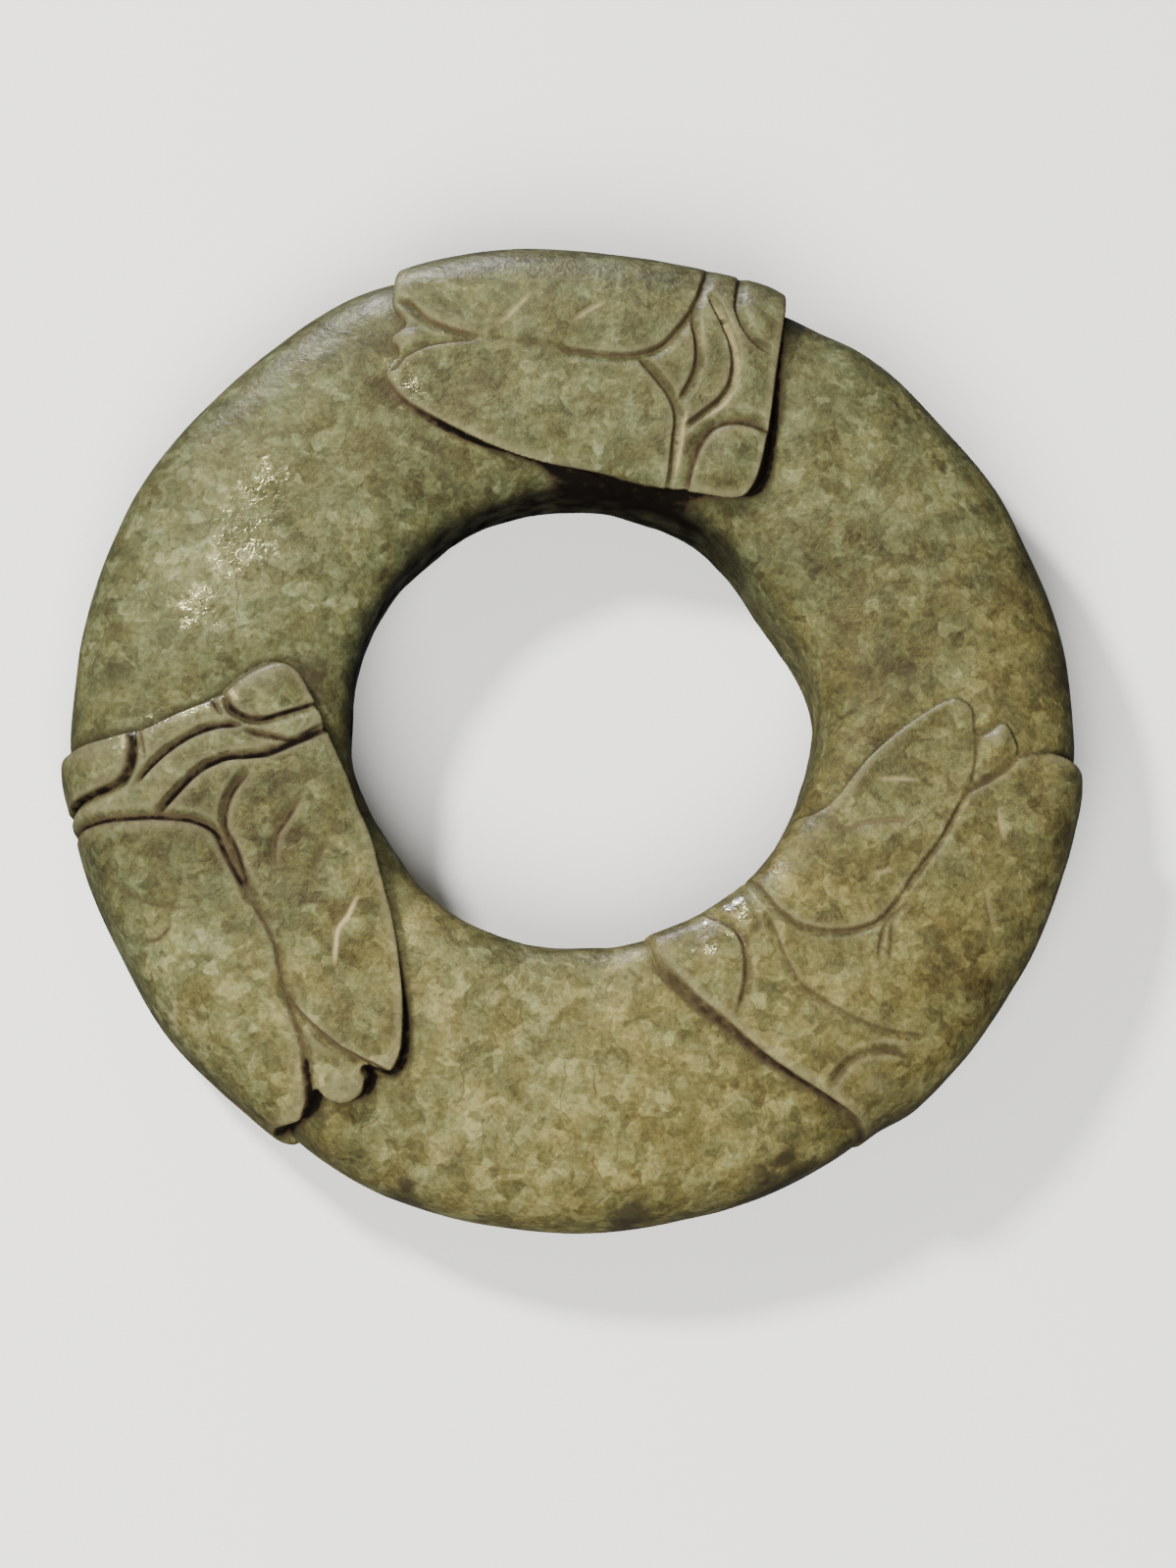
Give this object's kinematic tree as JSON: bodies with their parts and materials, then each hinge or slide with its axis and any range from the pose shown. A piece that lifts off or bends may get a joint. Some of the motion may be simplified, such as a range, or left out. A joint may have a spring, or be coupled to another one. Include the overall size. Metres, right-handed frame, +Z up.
{
  "type": "carved stone ring",
  "caption": "Thick carved stone ring with a wide round hole and a flat underside; crawling insects in low relief go round its domed upper face.",
  "frame": {"origin": "middle of the bounding box at the flat underside, where the ring rests", "axes": "+Z up out of the carved face, along the hole; +Y from the middle towards the insect shown uppermost; +X right of it, as seen from above"},
  "size_m": [0.1023, 0.1006, 0.0186],
  "materials": {
    "jade": "waxy hand polish, mottled olive and buff nephrite with brown soil left in the carved lines"
  },
  "bodies": {
    "root": {"jade_ring": "jade"}
  },
  "joints": []
}
